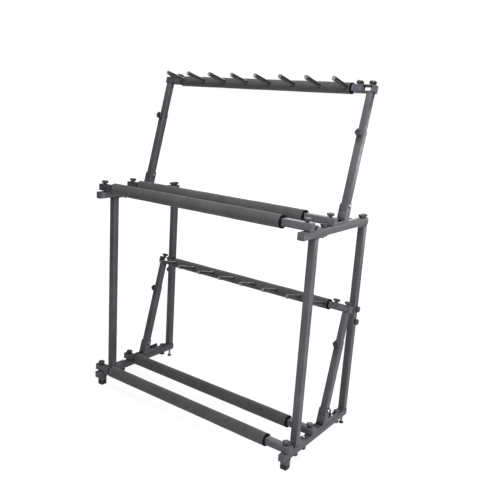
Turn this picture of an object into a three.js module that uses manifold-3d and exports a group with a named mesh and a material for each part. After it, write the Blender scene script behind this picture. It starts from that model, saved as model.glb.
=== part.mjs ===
// Two-tier racket display stand with folding peg arms; millimetres, Z up
import * as THREE from 'three';
import { mergeVertices } from 'three/addons/utils/BufferGeometryUtils.js';
import Module from 'manifold-3d';

const wasm = await Module();
wasm.setup();

// Side frames: two square-tube rails and two square-tube posts on each side
const sideSpacing = 895.5;
const tubeSize = 25;
const tubeWall = 1.5;
const tubeCorner = 2.5;
const frontPostY = 79;
const rearPostY = 421.5;
const railPastRearPost = 16;
const tubeEndWall = 2;
const bottomRailUnderside = 34.5;
const topRailTop = 797;
const postSpacing = rearPostY - frontPostY;
const railLength = rearPostY + railPastRearPost;
const flangeThickness = 3;
const frontFlangePastScrew = 10;
const rearTopFlangePastScrew = 10;
const rearLowFlangePastScrew = 12.5;

// Screws that tie the posts to the rails, and the ones through the rear posts;
// the shares here and below are of the distance between the posts
const screwBesidePost = 4.5;
const flangeScrewShare = 0.165;
const rearTopScrewShare = 0.05;
const rearLowScrewShare = 0.135;
const rearEndScrew = 5;
const screwHeadRadius = 11;
const screwHeadHeight = 8.3;
const screwCollarRadius = 6.5;
const screwCollarHeight = 3.7;
const screwRadius = 4;
const screwTipPastFlange = 7;
const screwClearance = 0.4;
const postKnobHeights = [412.5, 461];
const postKnobReach = 7.5;

// Crossbars, closed square tubes that lie across the rails in foam sleeves
const crossbarSize = 25;
const crossbarPastSide = 20.5;
const frontCrossbarYs = { lower: 22, upper: 31 };
const rearCrossbarShare = 0.279;
const crossbarSeat = 3;
const crossbarSeatRadius = 6.5;
const crossbarBareLefts = { lower: [79, 61], upper: [72, 61] };
const crossbarBareRights = { lower: [93, 104], upper: [103, 109] };
const crossbarSleeveRadius = 22;
const sleeveBoreGap = 0.3;

// Hinge brackets on the rails
const leanDegrees = 15;
const pivotAheadOfPost = 148;
const pivotHeight = 54.5;
const pivotRadius = 4;
const pivotClearance = 0.2;
const pivotHeadRadius = 6;
const pivotHeadHeight = 5.5;
const hingeWeb = 2;
const hingeCheek = 2;
const hingeGap = 0.4;
const hingeFrontShare = 0.33;
const hingeRearShare = 0.81;
const frontLipHeight = 10;
const rearLipHeights = { lower: 18, upper: 5 };
const earFrontOffset = 15;
const earRearOffset = 14;
const earPastPivot = 8.5;
const earCornerCut = 6;
const earFilletRadius = 12;
const earFilletSteps = 3;
const lipCornerCut = 3.5;
const stopPlate = 2;
const stopGap = 0.3;
const stopFrom = -42;
const stopTo = -20;
const mountScrewFromFront = 14.5;
const mountScrewFromRear = 16;
const mountScrewRadius = 5;
const mountScrewHeight = 1.5;

// Telescoping arms
const armOuterSize = 25;
const armOuterWall = 1.2;
const armInnerSize = 22;
const armInnerWall = 1.5;
const armCorner = 2;
const armTailLift = 5.5;
const armOuterTop = 252.5;
const armInnerLength = 272;
const armPlugDepth = 13;
const clampBelowTop = 12;
const bossRadius = 7.5;
const bossHeight = 4.5;
const clampTipGap = 0.5;
const upperBarAt = 392;
const lowerBarAt = 369;

// Peg bars and the slotted brackets that hold them on the arms
const pegBarSize = 22;
const pegBarWall = 1.5;
const pegBarCorner = 2;
const pegBarShortInset = 32.5;
const pegBarLongReach = 9;
const armBracketSize = 25;
const armBracketWall = 1.2;
const armBracketReach = 63;
const armBracketPastSide = 17.5;
const armBracketEndWall = 3;
const slotHeight = 18;
const slotFromArm = 29.5;
const slotPastArm = 7.5;
const armSeatGap = 0.3;
const clampKnobFromEnd = 17;
const fixingKnobDepth = 10;
const outerPegInset = 22;
const pegCount = 8;
const pegRadius = 7.5;
const pegBoreRadius = 4.5;
const pegBoreDepth = 18;
const pegTip = 114;
const pegTilt = -2;
const pegBareLeft = 3;
const pegBareRight = 4.5;
const pegSleeveRadius = 19.5;
const pegHoleGap = 0.6;

// Hand knobs
const knobRadius = 12.5;
const knobLobeDepth = 1.5;
const knobLobes = 5;
const knobLobeSteps = 3;
const knobThickness = 9;
const knobBevel = 1.4;
const knobCollarRadius = 6;
const knobCollarHeight = 4.5;
const knobStemRadius = 4;
const knobStemClearance = 0.4;
const crossbarKnobDepth = 10;
const clampKnobDepth = 8;

// Feet
const frontFootY = 27;
const frontFootCap = 18.5;
const frontFootWall = 2.5;
const footPegGap = 0.3;
const rearFootPastPost = 4;
const rearFootRadius = 9;
const rearFootFlare = 5.5;
const rearFootLip = 2;
const rearFootNeckRadius = 5;
const rearStemRadius = 4;
const rearNutRadius = 7;
const rearNutHeight = 5;

// Facets of the round shapes
const smallSides = 8;
const pegSides = 12;
const sleeveSides = 24;
const nutSides = 6;
const cornerSteps = 2;
const weldDistance = 0.0001;

const bottomRailTop = bottomRailUnderside + tubeSize;
const topRailUnderside = topRailTop - tubeSize;
const sideX = sideSpacing / 2;
const alongRail = (share) => frontPostY + share * postSpacing;
const frontScrewYs = [frontPostY + screwBesidePost, alongRail(flangeScrewShare)];
const rearTopScrewYs = [rearPostY - rearTopScrewShare * postSpacing, rearPostY + rearEndScrew];
const rearLowScrewY = rearPostY - rearLowScrewShare * postSpacing;
const frontFlangeReach = flangeScrewShare * postSpacing + frontFlangePastScrew;
const rearTopFlangeReach = rearTopScrewShare * postSpacing + rearTopFlangePastScrew;
const rearLowFlangeReach = rearLowScrewShare * postSpacing + rearLowFlangePastScrew;
const rearFootY = rearPostY + rearFootPastPost;
const halfTube = tubeSize / 2;
const crossbarYs = (tier) => [frontCrossbarYs[tier], alongRail(rearCrossbarShare)];
const crossbarEnd = sideX + crossbarPastSide;
const lean = THREE.MathUtils.degToRad(leanDegrees);
const pivotY = rearPostY - pivotAheadOfPost;
const hingeFront = alongRail(hingeFrontShare);
const hingeRear = alongRail(hingeRearShare);
const hingeInner = armOuterSize + 2 * hingeGap;
const hingeOuter = hingeInner + 2 * hingeCheek;
const mountScrewYs = [hingeFront + mountScrewFromFront, hingeRear - mountScrewFromRear];
const earTop = pivotHeight + earPastPivot;
const armTail = pivotHeight - armTailLift;
const clampAt = armOuterTop - clampBelowTop;
const armBracketInnerEnd = sideX - armBracketReach;
const armBracketOuterEnd = sideX + armBracketPastSide;
const clampKnobX = armBracketInnerEnd + clampKnobFromEnd;

const paint = { color: 0x39393c, roughness: 0.5, metalness: 0.4 };
const foam = { color: 0x4b4a4b, roughness: 0.95, metalness: 0 };
const plastic = { color: 0x1d1d1f, roughness: 0.55, metalness: 0 };
const rubber = { color: 0x1a1a1a, roughness: 0.9, metalness: 0 };

// Turns a three geometry into a solid
function solidOf(geometry) {
  geometry.deleteAttribute('normal');
  geometry.deleteAttribute('uv');
  const merged = mergeVertices(geometry, weldDistance);
  return new wasm.Manifold(new wasm.Mesh({
    numProp: 3,
    vertProperties: new Float32Array(merged.attributes.position.array),
    triVerts: new Uint32Array(merged.index.array),
  }));
}

// Turns a solid back into a three geometry
function geometryOf(solid) {
  const mesh = solid.getMesh();
  const geometry = new THREE.BufferGeometry();
  geometry.setAttribute('position', new THREE.BufferAttribute(mesh.vertProperties, 3));
  geometry.setIndex(new THREE.BufferAttribute(mesh.triVerts, 1));
  geometry.computeVertexNormals();
  return geometry;
}

// Box given by its low and high corners
function block(low, high) {
  const [x, y, z] = high.map((value, axis) => value - low[axis]);
  const geometry = new THREE.BoxGeometry(x, y, z);
  geometry.translate(low[0] + x / 2, low[1] + y / 2, low[2] + z / 2);
  return solidOf(geometry);
}

// Round bar along Z from one height to another
function rodZ(radius, from, to, x, y, sides = smallSides) {
  const geometry = new THREE.CylinderGeometry(radius, radius, to - from, sides);
  geometry.rotateX(Math.PI / 2);
  geometry.translate(x, y, (from + to) / 2);
  return solidOf(geometry);
}

// Round bar along X
function rodX(radius, from, to, y, z, sides = smallSides) {
  const geometry = new THREE.CylinderGeometry(radius, radius, to - from, sides);
  geometry.rotateZ(Math.PI / 2);
  geometry.translate((from + to) / 2, y, z);
  return solidOf(geometry);
}

// Round bar along Y
function rodY(radius, from, to, x, z, sides = smallSides) {
  const geometry = new THREE.CylinderGeometry(radius, radius, to - from, sides);
  geometry.translate(x, (from + to) / 2, z);
  return solidOf(geometry);
}

// Square with rounded corners, as an outline
function roundedSquare(size, corner) {
  const half = size / 2;
  const points = [];
  [[1, 1], [-1, 1], [-1, -1], [1, -1]].forEach(([sx, sy], quarter) => {
    for (let step = 0; step <= cornerSteps; step += 1) {
      const angle = (quarter + step / cornerSteps) * Math.PI / 2;
      const x = sx * (half - corner) + corner * Math.cos(angle);
      points.push(new THREE.Vector2(x, sy * (half - corner) + corner * Math.sin(angle)));
    }
  });
  return new THREE.Shape(points);
}

// Solid bar of rounded square section along Z
function squareBar(size, corner, from, to) {
  const geometry = new THREE.ExtrudeGeometry(roundedSquare(size, corner), {
    depth: to - from,
    bevelEnabled: false,
  });
  geometry.translate(0, 0, from);
  return solidOf(geometry);
}

// Open square tube along Z
function squareTube(size, wall, corner, from, to) {
  const half = size / 2 - wall;
  const bore = block([-half, -half, from - wall], [half, half, to + wall]);
  return squareBar(size, corner, from, to).subtract(bore);
}

// Flat outline in the YZ plane, given thickness along X
function plateX(points, from, to) {
  const outline = new THREE.Shape(points.map(([y, z]) => new THREE.Vector2(y, z)));
  const geometry = new THREE.ExtrudeGeometry(outline, { depth: to - from, bevelEnabled: false });
  geometry.applyMatrix4(new THREE.Matrix4().set(0, 0, 1, from, 1, 0, 0, 0, 0, 1, 0, 0, 0, 0, 0, 1));
  return solidOf(geometry);
}

// Hole for a knob's stem
function stemHole(x, y, from, to) {
  return rodZ(knobStemRadius + knobStemClearance, from, to, x, y);
}

// Lobed knob with collar and threaded stem; Z zero under the collar
function handKnob(stemLength) {
  const points = [];
  const steps = knobLobes * knobLobeSteps;
  for (let step = 0; step < steps; step += 1) {
    const angle = step * 2 * Math.PI / steps;
    const dip = knobLobeDepth * (1 - Math.cos(knobLobes * angle)) / 2;
    const radius = knobRadius - knobBevel - dip;
    points.push(new THREE.Vector2(radius * Math.cos(angle), radius * Math.sin(angle)));
  }
  const head = new THREE.ExtrudeGeometry(new THREE.Shape(points), {
    depth: knobThickness - 2 * knobBevel,
    bevelEnabled: true,
    bevelThickness: knobBevel,
    bevelSize: knobBevel,
    bevelSegments: 1,
  });
  head.translate(0, 0, knobCollarHeight + knobBevel);
  const collar = rodZ(knobCollarRadius, 0, knobCollarHeight + knobBevel, 0, 0);
  const stem = rodZ(knobStemRadius, -stemLength, knobCollarHeight, 0, 0);
  return solidOf(head).add(collar).add(stem);
}

// Square tube along Z with a wall across each end
function closedTube(size, wall, corner, from, to) {
  const tube = squareTube(size, wall, corner, from, to);
  const low = squareBar(size, corner, from, from + tubeEndWall);
  return tube.add(low).add(squareBar(size, corner, to - tubeEndWall, to));
}

// Rail along Y; Z zero on its underside
function railBody() {
  const tube = closedTube(tubeSize, tubeWall, tubeCorner, 0, railLength);
  return tube.rotate([-90, 0, 0]).translate([0, 0, halfTube]);
}

// Screw standing up through a rail and the flange under it
function topScrew(y) {
  const collarTop = tubeSize + screwCollarHeight;
  const shank = rodZ(screwRadius, -flangeThickness - screwTipPastFlange, collarTop, 0, y);
  const collar = rodZ(screwCollarRadius, tubeSize, collarTop, 0, y);
  const head = rodZ(screwHeadRadius, collarTop, collarTop + screwHeadHeight, 0, y, pegSides);
  return shank.add(collar).add(head);
}

// Screw with its head under a rail; inside a front post it ends plain, between the posts it
// carries a nut above the flange, and by the rear post a second head
function bottomScrew(y) {
  const seat = tubeSize + flangeThickness + screwClearance;
  const shank = rodZ(screwRadius, -screwCollarHeight, seat + screwTipPastFlange, 0, y);
  const collar = rodZ(screwCollarRadius, -screwCollarHeight, 0, 0, y);
  const low = -screwCollarHeight - screwHeadHeight;
  const screw = shank.add(collar).add(rodZ(screwHeadRadius, low, -screwCollarHeight, 0, y, pegSides));
  if (Math.abs(y - frontPostY) < halfTube) return screw;
  const secondHead = rodZ(screwHeadRadius, seat, seat + screwHeadHeight, 0, y, pegSides);
  const nut = rodZ(screwCollarRadius, seat, seat + screwCollarHeight, 0, y, nutSides);
  return screw.add(y === rearLowScrewY ? secondHead : nut);
}

// Holes in a rail's top wall for the stems of the crossbar knobs
function crossbarStemHoles(tier) {
  const holes = crossbarYs(tier).map((y) => stemHole(0, y, halfTube, tubeSize + tubeWall));
  return holes[0].add(holes[1]);
}

function topRail() {
  const screwYs = [...frontScrewYs, ...rearTopScrewYs];
  const rail = screwYs.reduce((solid, y) => solid.add(topScrew(y)), railBody());
  return rail.subtract(crossbarStemHoles('upper'));
}

function bottomRail() {
  const stubHalf = halfTube;
  const footStub = block(
    [-stubHalf, frontFootY - stubHalf, frontFootCap - bottomRailUnderside],
    [stubHalf, frontFootY + stubHalf, 0],
  );
  const tenonHalf = stubHalf - frontFootWall - footPegGap;
  const tenon = block(
    [-tenonHalf, frontFootY - tenonHalf, frontFootWall + footPegGap - bottomRailUnderside],
    [tenonHalf, frontFootY + tenonHalf, frontFootCap - bottomRailUnderside],
  );
  const screwYs = [...frontScrewYs, rearLowScrewY];
  const screws = screwYs.reduce((solid, y) => solid.add(bottomScrew(y)), railBody());
  const stemHoleRear = rodZ(rearStemRadius + screwClearance, -tubeWall, halfTube, 0, rearFootY);
  return screws.add(footStub).add(tenon).subtract(crossbarStemHoles('lower')).subtract(stemHoleRear);
}

// Post with a flange at each end; Z zero on the bottom rail's top, Y zero on its middle
function postBody(lowFlange, topFlange, topHoles, bottomHoles) {
  const length = topRailUnderside - bottomRailTop;
  let post = squareTube(tubeSize, tubeWall, tubeCorner, 0, length);
  [[lowFlange, 0], [topFlange, length - flangeThickness]].forEach(([[front, rear], z]) => {
    post = post.add(block([-halfTube, front, z], [halfTube, rear, z + flangeThickness]));
  });
  const holeRadius = screwRadius + screwClearance;
  topHoles.forEach((y) => {
    const drill = rodZ(holeRadius, length - 2 * flangeThickness, length + flangeThickness, 0, y);
    post = post.subtract(drill);
  });
  bottomHoles.forEach((y) => {
    post = post.subtract(rodZ(holeRadius, -flangeThickness, 2 * flangeThickness, 0, y));
  });
  return post;
}

function frontPost() {
  const holes = frontScrewYs.map((y) => y - frontPostY);
  const flange = [-halfTube, frontFlangeReach];
  return postBody(flange, flange, holes, holes);
}

// Screw lying across a rear post, with its head on the outer face
function postKnob(side, z) {
  const outer = side * halfTube;
  const neck = side * (halfTube + screwCollarHeight);
  const tip = side * (halfTube + screwCollarHeight + postKnobReach);
  const innerTip = -side * (halfTube + screwCollarHeight);
  const span = (radius, a, b, sides) => rodX(radius, Math.min(a, b), Math.max(a, b), 0, z, sides);
  return span(screwRadius, innerTip, neck, smallSides)
    .add(span(screwCollarRadius, outer, neck, smallSides))
    .add(span(screwHeadRadius, neck, tip, pegSides));
}

function rearPost(side) {
  const topHoles = rearTopScrewYs.map((y) => y - rearPostY);
  const [lowFlange, topFlange] = [[-rearLowFlangeReach, halfTube], [-rearTopFlangeReach, halfTube]];
  let post = postBody(lowFlange, topFlange, topHoles, [rearLowScrewY - rearPostY]);
  postKnobHeights.forEach((z) => {
    post = post.add(postKnob(side, z - bottomRailTop));
  });
  return post;
}

// Crossbar along X with a hole for each knob's stem and a round seat under it on the rail
function crossbar() {
  const half = crossbarSize / 2;
  let bar = closedTube(crossbarSize, tubeWall, tubeCorner, -crossbarEnd, crossbarEnd).rotate([0, 90, 0]);
  [-sideX, sideX].forEach((x) => {
    bar = bar.add(rodZ(crossbarSeatRadius, -half - crossbarSeat, tubeWall - half, x, 0, pegSides));
    bar = bar.subtract(stemHole(x, 0, -crossbarSize, crossbarSize));
  });
  return bar;
}

// Foam sleeve round a square bar
function foamSleeve(radius, barSize, from, to) {
  const half = barSize / 2 + sleeveBoreGap;
  const bore = block([from - half, -half, -half], [to + half, half, half]);
  return rodX(radius, from, to, 0, 0, sleeveSides).subtract(bore);
}

// Point on the arm's own lines, given along and behind its axis, in rail coordinates
function onArm(along, behind) {
  const y = pivotY + along * Math.sin(lean) + behind * Math.cos(lean);
  return [y, pivotHeight + along * Math.cos(lean) - behind * Math.sin(lean)];
}

// Point of a line parallel to the arm's axis at a given height
function onArmAt(height, behind) {
  const along = (height - pivotHeight + behind * Math.sin(lean)) / Math.cos(lean);
  return onArm(along, behind);
}

// Outline of a hinge bracket's cheek, front to rear
function cheekOutline(rearLipHeight) {
  const cut = lipCornerCut;
  const filletTop = rearLipHeight + earFilletRadius;
  const [rearTopY] = onArmAt(filletTop, earRearOffset);
  const fillet = [];
  for (let step = 0; step <= earFilletSteps; step += 1) {
    const angle = (step / earFilletSteps) * Math.PI / 2;
    const y = rearTopY + earFilletRadius * (1 - Math.cos(angle));
    fillet.push([y, filletTop - earFilletRadius * Math.sin(angle)]);
  }
  return [
    [hingeFront, 0], [hingeFront, frontLipHeight - cut], [hingeFront + cut, frontLipHeight],
    onArmAt(frontLipHeight, -earFrontOffset), onArmAt(earTop - earCornerCut, -earFrontOffset),
    onArmAt(earTop, earCornerCut - earFrontOffset), onArmAt(earTop, earRearOffset - earCornerCut),
    onArmAt(earTop - earCornerCut, earRearOffset), ...fillet,
    [hingeRear - cut, rearLipHeight], [hingeRear, rearLipHeight - cut], [hingeRear, 0],
  ].reverse();
}

// Hinge bracket: channel with two leaning ears, a stop plate and its riveted pivot
function hingeBracket(rearLipHeight) {
  const inner = hingeInner / 2;
  const outer = hingeOuter / 2;
  const webRear = [outer, hingeRear, hingeWeb];
  let bracket = block([-outer, hingeFront, 0], webRear);
  const cheek = cheekOutline(rearLipHeight);
  bracket = bracket.add(plateX(cheek, -outer, -inner)).add(plateX(cheek, inner, outer));
  const face = armOuterSize / 2 + stopGap;
  const stop = [onArm(stopFrom, -face), onArm(stopTo, -face),
    onArm(stopTo, -face - stopPlate), onArm(stopFrom, -face - stopPlate)].reverse();
  bracket = bracket.add(plateX(stop, -outer, outer));
  const headEnd = outer + pivotHeadHeight;
  bracket = bracket.add(rodX(pivotRadius, -headEnd, headEnd, pivotY, pivotHeight, pegSides));
  [[-headEnd, -outer], [outer, headEnd]].forEach(([from, to]) => {
    bracket = bracket.add(rodX(pivotHeadRadius, from, to, pivotY, pivotHeight, pegSides));
  });
  mountScrewYs.forEach((y) => {
    bracket = bracket.add(rodZ(mountScrewRadius, 0, hingeWeb + mountScrewHeight, 0, y));
  });
  return bracket;
}

// Arm's outer tube in the arm's frame: Z along the arm from the pivot, Y to the rear
function armOuter() {
  const front = -armOuterSize / 2;
  let tube = squareTube(armOuterSize, armOuterWall, armCorner, -armTail, armOuterTop);
  tube = tube.add(rodY(bossRadius, front - bossHeight, front + armOuterWall, 0, clampAt));
  tube = tube.subtract(rodY(knobStemRadius + knobStemClearance, front - 2 * bossHeight, 0, 0, clampAt));
  const reach = armOuterSize;
  return tube.subtract(rodX(pivotRadius + pivotClearance, -reach, reach, 0, 0, pegSides));
}

// Arm's inner tube, closed by a threaded plug on top
function armInner(barAt) {
  const top = barAt - armBracketSize / 2 - armSeatGap;
  const from = top - armInnerLength;
  const tube = squareTube(armInnerSize, armInnerWall, armCorner, from, top);
  const plug = squareBar(armInnerSize, armCorner, top - armPlugDepth, top);
  return tube.add(plug).subtract(stemHole(0, 0, top - 2 * armPlugDepth, top + armInnerWall));
}

// Bracket that joins an arm to its peg bar: a square tube closed at its outer end, with a
// slot through its front and rear walls; Z zero on the bar's axis
function armBracket(side) {
  const [from, to] = [armBracketInnerEnd, armBracketOuterEnd];
  const half = armBracketSize / 2;
  const tube = squareTube(armBracketSize, armBracketWall, armCorner, from, to);
  const cap = squareBar(armBracketSize, armCorner, to - armBracketEndWall, to);
  const slotEnds = [side * (sideX - slotFromArm), side * (sideX + slotPastArm)].sort((a, b) => a - b);
  const slotLow = [slotEnds[0], -armBracketSize, -slotHeight / 2];
  const slot = block(slotLow, [slotEnds[1], armBracketSize, slotHeight / 2]);
  return tube.add(cap).rotate([0, side * 90, 0])
    .subtract(slot)
    .subtract(stemHole(side * clampKnobX, 0, 0, armBracketSize))
    .subtract(stemHole(side * sideX, 0, -2 * half, 2 * half));
}

function pegXs() {
  const reach = armBracketInnerEnd - outerPegInset;
  return Array.from({ length: pegCount }, (_, index) => reach * (2 * index / (pegCount - 1) - 1));
}

// Round bar standing forward from the bar's axis, tilted slightly up from square
function pegRod(radius, from, to, x, sides) {
  return rodY(radius, -to, -from, 0, 0, sides).rotate([-pegTilt, 0, 0]).translate([x, 0, 0]);
}

// Peg bar: closed square tube with round pegs welded to its front; its long end reaches
// through one bracket and its short end stops inside the other
function pegBar(longSide) {
  const [long, short] = [sideX + pegBarLongReach, sideX - pegBarShortInset];
  const [from, to] = longSide < 0 ? [-long, short] : [-short, long];
  let bar = closedTube(pegBarSize, pegBarWall, pegBarCorner, from, to).rotate([0, 90, 0]);
  pegXs().forEach((x) => {
    bar = bar.add(pegRod(pegRadius, (pegBarSize - pegBarWall) / 2, pegTip, x, pegSides));
    bar = bar.subtract(pegRod(pegBoreRadius, pegTip - pegBoreDepth, pegTip + pegRadius, x, smallSides));
  });
  [-1, 1].forEach((side) => {
    bar = bar.subtract(stemHole(side * clampKnobX, 0, 0, pegBarSize));
  });
  return bar.subtract(stemHole(longSide * sideX, 0, -pegBarSize, pegBarSize));
}

// Foam sleeve pierced by the pegs
function pegSleeve() {
  const [from, to] = [pegBareLeft - armBracketInnerEnd, armBracketInnerEnd - pegBareRight];
  let sleeve = foamSleeve(pegSleeveRadius, pegBarSize, from, to);
  pegXs().forEach((x) => {
    sleeve = sleeve.subtract(pegRod(pegRadius + pegHoleGap, 0, 2 * pegSleeveRadius, x, pegSides));
  });
  return sleeve;
}

// Rubber cap over the end of a front foot; Z zero on the floor
function frontFoot() {
  const outer = squareBar(tubeSize, tubeCorner, 0, frontFootCap);
  const socketHalf = halfTube - frontFootWall;
  const socketLow = [-socketHalf, -socketHalf, frontFootWall];
  return outer.subtract(block(socketLow, [socketHalf, socketHalf, 2 * frontFootCap]));
}

// Levelling foot: flared base, lock nut and threaded stem; Z zero on the floor
function rearFoot() {
  const flareTop = rearFootLip + rearFootFlare;
  const profile = [[0, 0], [rearFootRadius, 0], [rearFootRadius, rearFootLip],
    [rearFootNeckRadius, flareTop], [0, flareTop]];
  const points = profile.map(([radius, z]) => new THREE.Vector2(radius, z));
  const base = new THREE.LatheGeometry(points, pegSides);
  base.rotateX(Math.PI / 2);
  const nutTop = bottomRailUnderside - screwClearance;
  const stem = rodZ(rearStemRadius, rearFootLip, bottomRailUnderside + halfTube - tubeWall, 0, 0);
  const nut = rodZ(rearNutRadius, nutTop - rearNutHeight, nutTop, 0, 0, nutSides);
  return solidOf(base).add(stem).add(nut);
}

// Named mesh at a place
function piece(name, solid, finish, position = [0, 0, 0]) {
  const mesh = new THREE.Mesh(geometryOf(solid), new THREE.MeshStandardMaterial(finish));
  mesh.name = name;
  mesh.position.set(...position);
  return mesh;
}

function addSideFrame(stand, side, word) {
  const x = side * sideX;
  stand.add(piece(`bottom_rail_${word}`, bottomRail(), paint, [x, 0, bottomRailUnderside]));
  stand.add(piece(`top_rail_${word}`, topRail(), paint, [x, 0, topRailUnderside]));
  stand.add(piece(`front_post_${word}`, frontPost(), paint, [x, frontPostY, bottomRailTop]));
  stand.add(piece(`rear_post_${word}`, rearPost(side), paint, [x, rearPostY, bottomRailTop]));
  stand.add(piece(`front_foot_cap_${word}`, frontFoot(), rubber, [x, frontFootY, 0]));
  stand.add(piece(`rear_levelling_foot_${word}`, rearFoot(), rubber, [x, rearFootY, 0]));
}

function addCrossbars(stand, tier, railTop) {
  crossbarYs(tier).forEach((y, index) => {
    const place = index ? 'rear' : 'front';
    const z = railTop + crossbarSeat + crossbarSize / 2;
    const sleeveFrom = crossbarBareLefts[tier][index] - crossbarEnd;
    const sleeveTo = crossbarEnd - crossbarBareRights[tier][index];
    stand.add(piece(`${tier}_${place}_crossbar`, crossbar(), paint, [0, y, z]));
    const sleeve = foamSleeve(crossbarSleeveRadius, crossbarSize, sleeveFrom, sleeveTo);
    stand.add(piece(`${tier}_${place}_crossbar_sleeve`, sleeve, foam, [0, y, z]));
    [-1, 1].forEach((side) => {
      const name = `${tier}_${place}_crossbar_knob_${side < 0 ? 'left' : 'right'}`;
      const seat = crossbarSeat + crossbarSize;
      const knob = handKnob(seat + crossbarKnobDepth);
      stand.add(piece(name, knob, plastic, [side * sideX, y, railTop + seat]));
    });
  });
}

function addArms(stand, tier, railTop, barAt, longSide) {
  const arms = new THREE.Group();
  arms.position.set(0, pivotY, railTop + pivotHeight);
  arms.rotation.x = -lean;
  [-1, 1].forEach((side) => {
    const word = side < 0 ? 'left' : 'right';
    const x = side * sideX;
    const hinge = hingeBracket(rearLipHeights[tier]);
    stand.add(piece(`${tier}_hinge_bracket_${word}`, hinge, paint, [x, 0, railTop]));
    arms.add(piece(`${tier}_arm_outer_tube_${word}`, armOuter(), paint, [x, 0, 0]));
    arms.add(piece(`${tier}_arm_inner_tube_${word}`, armInner(barAt), paint, [x, 0, 0]));
    arms.add(piece(`${tier}_arm_bracket_${word}`, armBracket(side), paint, [0, 0, barAt]));
    const boss = armOuterSize / 2 + bossHeight + armSeatGap;
    const stem = boss - armInnerSize / 2 - clampTipGap;
    const armKnob = piece(`${tier}_height_knob_${word}`, handKnob(stem), plastic, [x, -boss, clampAt]);
    armKnob.rotation.x = Math.PI / 2;
    arms.add(armKnob);
    const top = barAt + armBracketSize / 2 + armSeatGap;
    const clampStem = armBracketWall + clampKnobDepth;
    const fixingStem = armBracketSize + fixingKnobDepth;
    const clampKnob = handKnob(clampStem);
    const fixingKnob = handKnob(fixingStem);
    arms.add(piece(`${tier}_bar_clamp_knob_${word}`, clampKnob, plastic, [side * clampKnobX, 0, top]));
    arms.add(piece(`${tier}_bracket_knob_${word}`, fixingKnob, plastic, [side * sideX, 0, top]));
  });
  arms.add(piece(`${tier}_peg_bar`, pegBar(longSide), paint, [0, 0, barAt]));
  arms.add(piece(`${tier}_peg_bar_sleeve`, pegSleeve(), foam, [0, 0, barAt]));
  stand.add(arms);
}

const stand = new THREE.Group();
stand.position.y = -railLength / 2;
addSideFrame(stand, -1, 'left');
addSideFrame(stand, 1, 'right');
const tiers = [['lower', bottomRailTop, lowerBarAt, 1], ['upper', topRailTop, upperBarAt, -1]];
tiers.forEach(([tier, railTop, barAt, longSide]) => {
  addCrossbars(stand, tier, railTop);
  addArms(stand, tier, railTop, barAt, longSide);
});

const group = new THREE.Group();
group.name = 'racket_display_stand';
group.add(stand);
export default group;
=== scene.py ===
# Racket display stand with folding peg arms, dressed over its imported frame
import math
import bmesh
import bpy
from mathutils import Matrix, Vector


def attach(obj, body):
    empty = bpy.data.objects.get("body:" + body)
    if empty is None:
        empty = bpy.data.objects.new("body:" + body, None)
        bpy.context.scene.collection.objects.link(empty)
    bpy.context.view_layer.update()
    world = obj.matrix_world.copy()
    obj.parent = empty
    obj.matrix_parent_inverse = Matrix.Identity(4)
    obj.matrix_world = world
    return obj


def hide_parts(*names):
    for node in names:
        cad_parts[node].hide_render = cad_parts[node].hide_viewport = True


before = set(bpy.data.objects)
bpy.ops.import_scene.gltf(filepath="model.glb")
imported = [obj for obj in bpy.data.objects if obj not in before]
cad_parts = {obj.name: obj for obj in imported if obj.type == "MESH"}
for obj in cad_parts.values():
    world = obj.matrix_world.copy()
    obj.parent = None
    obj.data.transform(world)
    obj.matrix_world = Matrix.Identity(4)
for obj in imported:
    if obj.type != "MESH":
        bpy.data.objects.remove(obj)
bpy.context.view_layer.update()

# Sizes are in millimetres, from the floor, from the middle between the side frames and from
# the rails' front ends. The CAD's middle is at MID_Y, and shifted() takes that off.
MM = 0.001
MID_Y = 218.75
# For picking: an edge or face counts as aligned above this share of its direction, and a
# place as reached within this many millimetres
ALIGNED = 0.9
NEAR = 0.1
SIDES = (("left", -1), ("right", 1))
# Name, top of the rails, distance from the arm's pivot up to the peg bar
TIERS = (("lower", 59.5, 369), ("upper", 797, 392))

# Side frames
SIDE_X = 447.75
TUBE = 25
TUBE_WALL = 1.5
TUBE_CORNER = 2.5
# The seam round a plug in a tube's end: its width, depth, and how far the plug rises in it
SEAM_WIDTH = 0.35
SEAM_DEPTH = 0.7
PLUG_RISE = 0.6
RAIL_LENGTH = 437.5
RAIL_BOTTOMS = (("bottom", 34.5), ("top", 772))
POST_BOTTOM = 59.5
POST_TOP = 772
FLANGE = 3
FLANGE_CORNER = 4
# How far a weld bead stands out from its tube, its wall, and its height at a foot and a post
WELD_OUT = 1.7
WELD_WALL = 1.9
STUB_WELD = 1.8
POST_WELD = 1.9
POST_WELD_INSET = 1.8
# Name, place along the rail, and where its low and high flange start and end from there
POSTS = (("front", 79, (-12.5, 66.5), (-12.5, 66.5)),
         ("rear", 421.5, (-58.7, 12.5), (-27.1, 12.5)))
# Hand screws along each rail, with what stands on top of the bottom ones, and up each rear post
TOP_SCREWS = (83.5, 135.5, 404.4, 426.5)
BOTTOM_SCREWS = ((83.5, None), (135.5, "nut"), (375.3, "cap"))
POST_KNOBS = (412.5, 461)
FRONT_FOOT_Y = 27
REAR_FOOT_Y = 425.5
FOOT_STUB = 16

# Bars, brackets and sleeves
# Name, place along the rail, and where the foam starts and ends
CROSSBARS = {"lower": (("front", 22, -389.2, 375.2), ("rear", 174.6, -407.2, 364.2)),
             "upper": (("front", 31, -396.2, 365.2), ("rear", 174.6, -407.2, 359.2))}
CROSSBAR_END = 468.2
CROSSBAR_SEAT = 3
CROSSBAR_SLEEVE_RADIUS = 22
BAR = 22
BAR_CORNER = 2
# Side of the longer end of each peg bar
LONG_BARS = {"lower": 1, "upper": -1}
BAR_LONG = 456.7
BAR_SHORT = 415.2
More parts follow.
